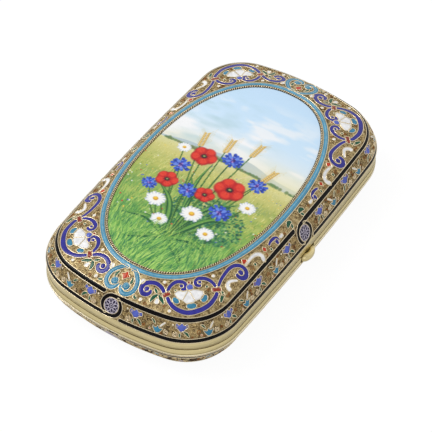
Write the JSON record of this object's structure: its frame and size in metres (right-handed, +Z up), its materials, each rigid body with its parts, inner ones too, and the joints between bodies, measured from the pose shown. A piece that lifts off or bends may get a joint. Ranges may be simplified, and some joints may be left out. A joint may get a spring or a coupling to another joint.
{
  "type": "enamel cigarette case",
  "caption": "Flat rounded case with a hinged domed lid, enamelled scroll border round an oval plaque, gilt rims and a push catch.",
  "frame": {"origin": "middle of the flat back that the case lies on", "axes": "+X towards the catch side, -X towards the hinge, +Y along the case towards the top of the picture, +Z up through the lid"},
  "size_m": [0.0667, 0.11, 0.0227],
  "materials": {
    "gilt": "satin gilt silver with bright worn edges",
    "cloisonne": "stippled gilt ground with coloured enamel cells and gilt wires",
    "black_enamel": "glossy black enamel",
    "turquoise_enamel": "glossy turquoise enamel",
    "violet_enamel": "glossy dark violet enamel with pale wires",
    "painted_enamel": "glossy painted enamel",
    "spring_steel": "brushed",
    "elastic": "woven ribbed elastic"
  },
  "bodies": {
    "base": {"base_back_line": "black_enamel", "base_back_panel": "cloisonne", "base_band_far_catch": "cloisonne", "base_band_far_hinge": "cloisonne", "base_band_near_catch": "cloisonne", "base_band_near_hinge": "cloisonne", "base_clip_catch_side": "gilt", "base_clip_hinge_side": "gilt", "base_elastic_band": "elastic", "base_knuckle_1": "gilt", "base_knuckle_2": "gilt", "base_knuckle_3": "gilt", "base_lip": "gilt", "base_rim": "gilt", "base_roundel_catch_side": "violet_enamel", "base_roundel_far_end": "violet_enamel", "base_roundel_hinge_side": "violet_enamel", "base_roundel_near_end": "violet_enamel", "base_shell": "gilt", "base_upper_line": "black_enamel", "catch_bracket": "gilt", "catch_spring": "spring_steel", "hinge_pin": "gilt"},
    "lid": {"lid_band_far_catch": "cloisonne", "lid_band_far_hinge": "cloisonne", "lid_band_near_catch": "cloisonne", "lid_band_near_hinge": "cloisonne", "lid_border_panel": "cloisonne", "lid_clip_catch_side": "gilt", "lid_clip_hinge_side": "gilt", "lid_elastic_band": "elastic", "lid_keeper": "spring_steel", "lid_knuckle_1": "gilt", "lid_knuckle_2": "gilt", "lid_lower_line": "black_enamel", "lid_oval_plaque": "painted_enamel", "lid_rim": "gilt", "lid_rope_bezel": "gilt", "lid_roundel_catch_side": "violet_enamel", "lid_roundel_far_end": "violet_enamel", "lid_roundel_hinge_side": "violet_enamel", "lid_roundel_near_end": "violet_enamel", "lid_shell": "gilt", "lid_turquoise_ring": "turquoise_enamel", "lid_upper_line": "black_enamel"},
    "catch": {"catch_thumbpiece": "gilt", "catch_latch": "spring_steel"}
  },
  "joints": [
    {"name": "lid_hinge", "type": "hinge", "parent": "base", "child": "lid", "pos_m": [-0.0318, 0, 0.0096], "axis": [0, -1, 0], "range_deg": [0, 105]},
    {"name": "catch_press", "type": "slide", "parent": "base", "child": "catch", "axis": [-1, 0, 0], "range_m": [0, 0.0008], "stiffness_N_per_m": 400, "springref_m": -0.0008, "deforming": ["catch_spring"]}
  ]
}
